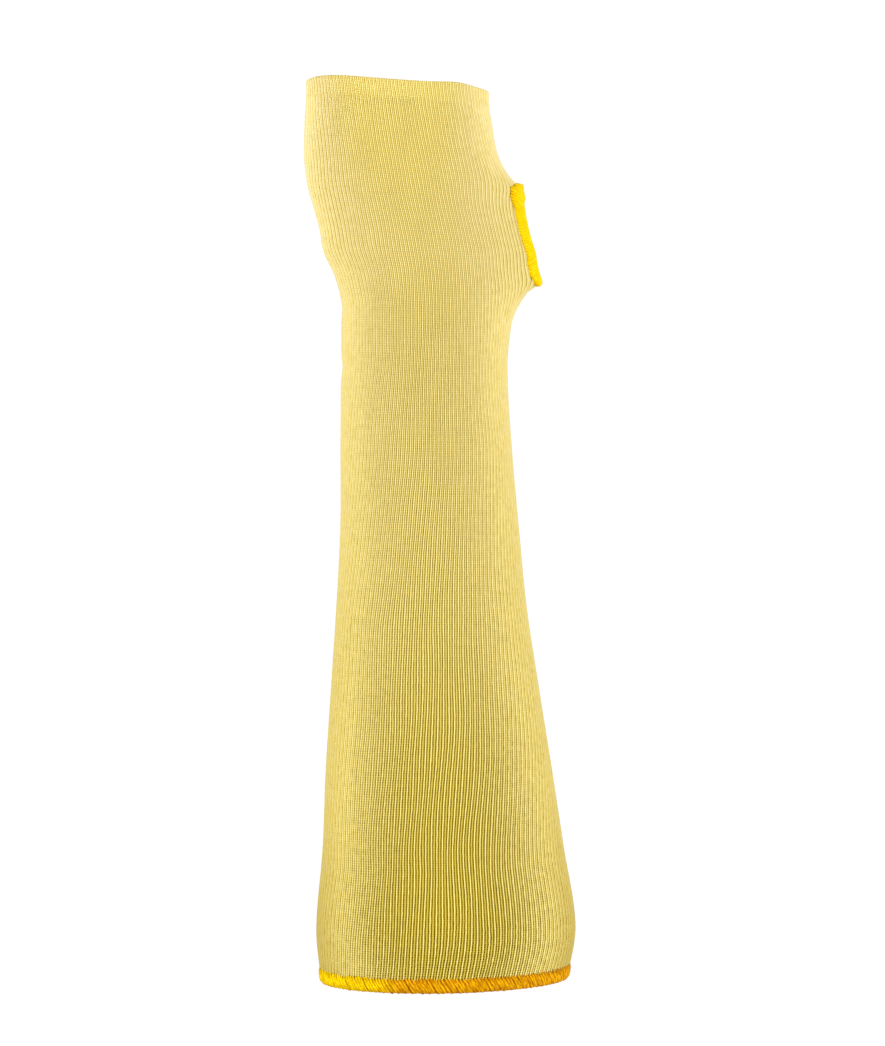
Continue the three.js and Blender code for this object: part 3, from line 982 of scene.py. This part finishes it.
@dataclass
class OverlockEdge:
    """Strands of overlock thread that wrap an edge of the fabric all round, over a thin core.

    Along runs from the edge into the fabric, and across runs out from the fabric's outer face. The strands are
    spaced evenly on the line that lies at the share even_at of the reach. Strand_scatter holds the middle and
    the spread of the random draws for their reach, slant, bow, width, depth and shift. Uv_shift sets the
    threads' patterns apart.
    """

    form: SleeveForm
    name: str
    node: str
    slot: Slot
    finish: ThreadFinish
    reach: float
    strand_pitch: float
    slant: float
    knot_pitch: float
    seed: int
    ends: tuple[EdgeEnd, ...] = ()
    even_at: float = 0.0
    inset: float = 0.0
    clearance: float = 0.00022
    strand_depth: float = 0.00036
    overlap: float = 1.4
    unevenness: float = 1.0
    strand_ways: tuple[float, ...] = (0.0, 0.025, 0.13, 0.29, 0.39, 0.46, 0.54, 0.61, 0.72, 0.9, 1.0)
    strand_sides: int = 6
    strand_scatter: tuple[Pair, ...] = ((1.0, 0.07), (1.0, 0.08), (0.0, 0.1), (1.0, 0.06), (1.0, 0.12), (0.0, 0.06))
    knot_rows: int = 6
    knot_length: float = 0.0023
    knot_depth: float = 0.0004
    knot_flatness: float = 1.3
    knot_scatter: tuple[Pair, ...] = ((1.0, 0.12), (1.0, 0.12), (0.0, 0.1), (0.0, 0.0003))
    core_columns: int = 192
    core_rows: int = 12
    core_reach: float = 0.7
    core_thickness: float = 0.0003
    uv_shift: float = 0.37

    def perimeter(self) -> float:
        """Length of the edge, in metres."""
        return float(walk(self.place(np.linspace(0.0, 1.0, 721), self.even_at * self.reach, 0.0))[-1])

    def place(self, share: Array, along: Array | float, across: Array | float) -> Array:
        """Points near the edge, at a share of the way along it."""
        raise NotImplementedError

    def bulk_at(self, share: Array) -> Array:
        """How much further the strands stand out at a share of the way along the edge."""
        return sum((end.bulk * end.nearness(share) for end in self.ends), np.zeros_like(share))

    def reach_at(self, share: Array) -> Array:
        """How far the strands reach into the fabric at a share of the way along the edge."""
        shortening = sum((end.shortening * end.nearness(share) for end in self.ends), np.zeros_like(share))
        return self.reach * (1.0 - shortening)

    def _wrap(
        self, way: Array, reach: Array, lift: Array | float
    ) -> tuple[Array, Array, Array]:
        """The line from the outer border round the edge to the inner border.

        Args:
            way: shares of the way along the line.
            reach: how far the line reaches over the fabric.
            lift: how far the line lies out of the fabric.

        Returns:
            Along, across, and the angle of the line's outward direction from across.
        """
        radius = self.form.thickness / 2 + lift
        turn_length = math.pi * radius
        walked = way * (2 * reach + turn_length)
        down = np.clip(reach - walked, 0.0, None)
        back = np.clip(walked - reach - turn_length, 0.0, None)
        angle = np.clip((walked - reach) / radius, 0.0, math.pi)
        along = down + back - radius * np.sin(angle) + self.inset
        across = -self.form.thickness / 2 + radius * np.cos(angle)
        return along, across, angle

    def _strands(self) -> bpy.types.Mesh:
        """Slanted strands side by side, each a closed tube that tapers at both ends.

        Returns:
            The strands, as one mesh.
        """
        length = self.perimeter()
        count = round(length / self.strand_pitch)
        chance = np.random.default_rng(self.seed)
        mesh, place = GridPiece.stack(self.name, self.strand_sides, len(self.strand_ways) - 1, count)
        side, row, strand = place[:, 0], place[:, 1], place[:, 2]
        way = np.array(self.strand_ways)[row]
        round_way = side / self.strand_sides
        longer, steeper, bent, wider, deeper, shift = (
            chance.normal(middle, spread * self.unevenness, count)[strand] for middle, spread in self.strand_scatter
        )
        start = (strand + shift) / count
        width = self.strand_pitch / 2 * self.overlap * wider
        depth = self.strand_depth * deeper
        along, across, angle = self._wrap(way, longer * self.reach_at(start), self.clearance + self.strand_depth)
        blunt = np.clip(1 - np.abs(2 * way - 1) ** 7, 0.0, 1.0) ** 0.5
        wedge = np.clip(1 - np.abs(2 * way - 1) ** 3, 0.0, 1.0) ** 0.7
        bulk = self.bulk_at(start) * (1 - smooth_step(way, 0.05, 0.46)) / 2
        sunk = (self.clearance + 0.7 * self.strand_depth + bulk) * (1 - smooth_step(way, 0.0, 0.16))
        sideways = width * blunt * np.cos(TURN * round_way)
        outwards = (depth * wedge + bulk * blunt) * np.sin(TURN * round_way) + bulk - sunk
        bow = self.strand_pitch * bent * np.sin(math.pi * 2 * way)
        leaning = self.slant * steeper * (0.5 - np.abs(way - 0.5)) * 2 + bow
        share = start + (sideways + leaning) / length
        points = self.place(share, along - outwards * np.sin(angle), across + outwards * np.cos(angle))
        GridPiece.lay(mesh, points, np.stack([round_way + 0.25, way + strand * self.uv_shift], axis=-1))
        return mesh

    def _knots(self) -> bpy.types.Mesh:
        """Little knots along the very edge, where the threads lock round each other.

        Returns:
            The knots, as one mesh.
        """
        length = self.perimeter()
        count = round(length / self.knot_pitch)
        chance = np.random.default_rng(self.seed + 1)
        mesh, place = GridPiece.stack(self.name + "_knots", self.strand_sides, self.knot_rows, count)
        side, row, knot = place[:, 0], place[:, 1], place[:, 2]
        way = row / self.knot_rows
        round_way = side / self.strand_sides
        longer, deeper, shift, lean = (
            chance.normal(middle, spread, count)[knot] for middle, spread in self.knot_scatter
        )
        depth = self.knot_depth * deeper * np.sin(math.pi * way)
        edge = self.form.thickness / 2 + self.clearance + self.strand_depth
        middle = -self.form.thickness / 2 + self.strand_depth * self.knot_flatness
        along = self.inset - edge + lean * (way - 0.5) - depth * np.sin(TURN * round_way)
        across = middle + depth * np.cos(TURN * round_way) * self.knot_flatness
        share = (knot + 0.5 + shift) / count + (way - 0.5) * (self.knot_length * longer) / length
        uvs = np.stack([round_way + 0.5, way * 0.2 + knot * self.uv_shift], axis=-1)
        GridPiece.lay(mesh, self.place(share, along, across), uvs)
        return mesh

    def _core(self) -> bpy.types.Mesh:
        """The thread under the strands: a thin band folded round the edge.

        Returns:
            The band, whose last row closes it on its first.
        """
        rows = self.core_rows
        mesh, place = GridPiece.stack(self.name + "_core", self.core_columns, 2 * rows + 2)
        column, row = place[:, 0], place[:, 1]
        way = np.clip(np.where(row <= rows, row, 2 * rows + 1 - row) / rows, 0.0, 1.0)
        outside = (row <= rows) | (row == 2 * rows + 2)
        share = column / self.core_columns
        lift = self.clearance + np.where(outside, self.core_thickness, 0.0)
        along, across, _ = self._wrap(way, self.reach_at(share) * self.core_reach, lift)
        uvs = np.stack([np.full(len(way), 0.75), share * 40], axis=-1)
        GridPiece.lay(mesh, self.place(share, along, across), uvs)
        return mesh

    def build(self) -> bpy.types.Object:
        """Builds the core, the strands and the knots as one piece.

        Returns:
            The piece.
        """
        meshes = [self._core(), self._strands()]
        if self.knot_pitch > 0:
            meshes.append(self._knots())
        joined = bmesh.new()
        for mesh in meshes:
            GridPiece.close(mesh)
            joined.from_mesh(mesh)
            bpy.data.meshes.remove(mesh)
        whole = bpy.data.meshes.new(self.name)
        joined.to_mesh(whole)
        joined.free()
        return GridPiece.show(whole, self.node, self.slot, self.finish.material())


@dataclass
class ArmOpeningHem(OverlockEdge):
    """The golden hem round the cut edge of the arm opening."""

    def place(self, share: Array, along: Array | float, across: Array | float) -> Array:
        """Points near the edge, evenly spaced round the arm opening from the thumb side."""
        angles = np.linspace(0.0, TURN, 1441)
        walked = walk(self.form.tube(angles, np.zeros_like(angles)))
        angle = np.interp(np.mod(share, 1.0), walked / walked[-1], angles)
        return self.form.skin(angle, along, across)


@dataclass
class ThumbSlotEdging(OverlockEdge):
    """The lemon edging round the thumb slot. Its outer border is squarer at the slot's head."""

    samples: int = 7201
    border_squareness: float = 5.2

    def __post_init__(self) -> None:
        """Works out how much angle a length takes at the slot's lip."""
        form = self.form
        angle_step = self.reach / form.thumb.depth
        lip = np.array([form.slot_half_angle, form.slot_half_angle + angle_step])
        past = walk(form.tube(lip, form.slot.at(0.5)))
        self._angle_per_length = angle_step / past[-1]
        shares = np.linspace(0.0, 1.0, self.samples)
        walked = walk(self._oval(shares, self.even_at * self.reach, 0.0))
        self._even = (walked / walked[-1], shares)

    def _oval(self, share: Array, along: Array | float, across: Array | float) -> Array:
        """Points round the slot's long oval, from its foot up the front and down the back."""
        form = self.form
        way = TURN * share
        outermost = np.where(np.cos(way) < 0, np.clip(along / self.reach, 0.0, 1.0), 0.0)
        squareness = form.slot_squareness + (self.border_squareness - form.slot_squareness) * outermost
        level = np.sign(np.cos(way)) * np.abs(np.cos(way)) ** (2 / squareness)
        angle = -(form.slot_half_angle + along * self._angle_per_length) * np.sin(way)
        height = form.slot.at(0.5) - (form.slot_length / 2 + along) * level
        return form.skin(angle, height, across)

    def place(self, share: Array, along: Array | float, across: Array | float) -> Array:
        """Points near the edge, evenly spaced round the slot from its foot."""
        return self._oval(np.interp(np.mod(share, 1.0), *self._even), along, across)


# Studio


@dataclass(frozen=True)
class Lamp:
    """A square soft light: its place, the length of its sides and its power in watts."""

    name: str
    place: tuple[float, float, float]
    size: float
    power: float


@dataclass
class Studio:
    """Pale floor, soft light and the photograph's camera."""

    floor_height: float = -0.6
    floor_radius: float = 9.0
    camera_place: tuple[float, float, float] = (-0.0008, -1.45, 0.1814)
    lit_place: tuple[float, float, float] = (0.0, 0.0, 0.18)
    focal_pixels: float = 3625.0
    picture_height: float = 1046.0
    sensor: float = 36.0
    clips: Pair = (0.01, 60.0)
    white: Colour = colour(255, 255, 255)
    floor_colour: Colour = colour(236, 236, 234)
    backdrop_strength: float = 1.02
    world_light: float = 0.37
    lamps: tuple[Lamp, ...] = (
        Lamp("left_softbox", (-1.75, -0.95, 0.75), 0.8, 34.0),
        Lamp("right_softbox", (1.65, -1.05, 0.65), 0.5, 29.0),
        Lamp("front_fill", (0.3, -2.2, 1.1), 1.2, 6.0),
        Lamp("back_light", (0.4, 1.9, 1.2), 1.8, 34.0),
    )

    def build(self) -> None:
        """Makes the floor, the world, the lights and the camera."""
        self._floor()
        self._world()
        for lamp in self.lamps:
            self._light(lamp)
        self._camera()

    @staticmethod
    def _stand(name: str, data: bpy.types.ID, place: tuple[float, float, float]) -> bpy.types.Object:
        """Puts an object into the scene at its place."""
        stand = bpy.data.objects.new(name, data)
        stand.location = place
        bpy.context.scene.collection.objects.link(stand)
        return stand

    def _floor(self) -> None:
        """A plain pale round floor, well below the sleeve, which an arm holds up."""
        bm = bmesh.new()
        level = Matrix.Translation((0.0, 0.0, self.floor_height))
        bmesh.ops.create_circle(bm, cap_ends=True, segments=96, radius=self.floor_radius, matrix=level)
        mesh = bpy.data.meshes.new("floor")
        bm.to_mesh(mesh)
        bm.free()
        material = bpy.data.materials.new("pale_floor")
        mesh.materials.append(material)
        paint = Paint(material)
        matt = paint.node("ShaderNodeBsdfDiffuse", {}, {"Color": self.floor_colour})
        glow = {"Color": self.white, "Strength": self.backdrop_strength}
        bright = paint.node("ShaderNodeEmission", {}, glow)
        seen = paint.node("ShaderNodeLightPath", {}, {}).outputs["Is Camera Ray"]
        mixed = paint.node("ShaderNodeMixShader", {}, {0: seen, 1: matt.outputs[0], 2: bright.outputs[0]})
        paint.node("ShaderNodeOutputMaterial", {}, {0: mixed.outputs[0]})
        floor = self._stand("floor", mesh, (0.0, 0.0, 0.0))

    def _world(self) -> None:
        """A white surround that is brighter to look at than it is as a light."""
        world = bpy.data.worlds.new("surround")
        paint = Paint(world)
        seen = paint.node("ShaderNodeLightPath", {}, {}).outputs["Is Camera Ray"]
        strengths = {"Value": seen, "To Min": self.world_light, "To Max": self.backdrop_strength}
        strength = paint.value("ShaderNodeMapRange", {}, strengths)
        glow = paint.node("ShaderNodeBackground", {}, {"Color": self.white, "Strength": strength})
        paint.node("ShaderNodeOutputWorld", {}, {0: glow.outputs[0]})
        bpy.context.scene.world = world

    def _light(self, lamp: Lamp) -> None:
        """Adds a lamp that faces the sleeve's middle."""
        light = bpy.data.lights.new(lamp.name, "AREA")
        light.size = lamp.size
        light.energy = lamp.power
        way = Vector(self.lit_place) - Vector(lamp.place)
        self._stand(lamp.name, light, lamp.place).rotation_euler = way.to_track_quat("-Z", "Y").to_euler()

    def _camera(self) -> None:
        """A level camera before the sleeve's front, as the photograph was taken."""
        lens = bpy.data.cameras.new("camera")
        lens.sensor_width = self.sensor
        lens.lens = self.focal_pixels * self.sensor / self.picture_height
        lens.clip_start, lens.clip_end = self.clips
        camera = self._stand("camera", lens, self.camera_place)
        camera.rotation_euler = (math.pi / 2, 0.0, 0.0)
        bpy.context.scene.camera = camera
        bpy.context.scene.view_settings.view_transform = "Standard"


HEM_FINISH = ThreadFinish(
    name="hem_thread",
    crown=colour(242, 178, 6),
    flank_shade=colour(172, 102, 0),
    gap_shade=colour(138, 76, 0),
    left=(colour(255, 228, 0), colour(222, 166, 0)),
    left_side=(-0.034, -0.016),
    shade_heights=(-0.0016, 0.0012),
)
EDGING_FINISH = ThreadFinish(
    name="edging_thread",
    crown=colour(254, 220, 16),
    flank_shade=colour(248, 199, 0),
    gap_shade=colour(228, 168, 0),
)


def main() -> None:
    """Builds the studio and the sleeve's three pieces."""
    logging.basicConfig(level=logging.INFO, format="%(message)s")
    Studio().build()
    form = SleeveForm()
    sleeve = KnitSleeve(form=form, field=WaleField(form))
    knit = sleeve.build()
    edging = ThumbSlotEdging(
        form=form, name="thumb_slot_binding", node="thumb_slot_edging", slot=Slot.EDGING, finish=EDGING_FINISH,
        reach=0.0045, strand_pitch=0.0011, slant=0.0009, knot_pitch=0.0, seed=5, even_at=0.6, overlap=1.7,
        unevenness=0.4,
        ends=(
            EdgeEnd(0.5, 0.14, bulk=0.0025, shortening=-0.05),
            EdgeEnd(0.37, 0.06, bulk=0.0, shortening=0.3),
            EdgeEnd(0.63, 0.06, bulk=0.0, shortening=0.3),
            EdgeEnd(0.0, 0.15, bulk=0.0006, shortening=0.66),
        ),
    ).build()
    hem = ArmOpeningHem(
        form=form, name="arm_opening_binding", node="arm_opening_hem", slot=Slot.HEM, finish=HEM_FINISH,
        reach=0.0044, strand_pitch=0.0014, slant=0.0042, knot_pitch=0.0031, seed=11, inset=form.thickness / 2,
        overlap=1.5, unevenness=0.7,
    ).build()
    for piece in (knit, edging, hem):
        log.info("%s: %d faces", piece.name, len(piece.data.polygons))


if __name__ == "__main__":
    main()
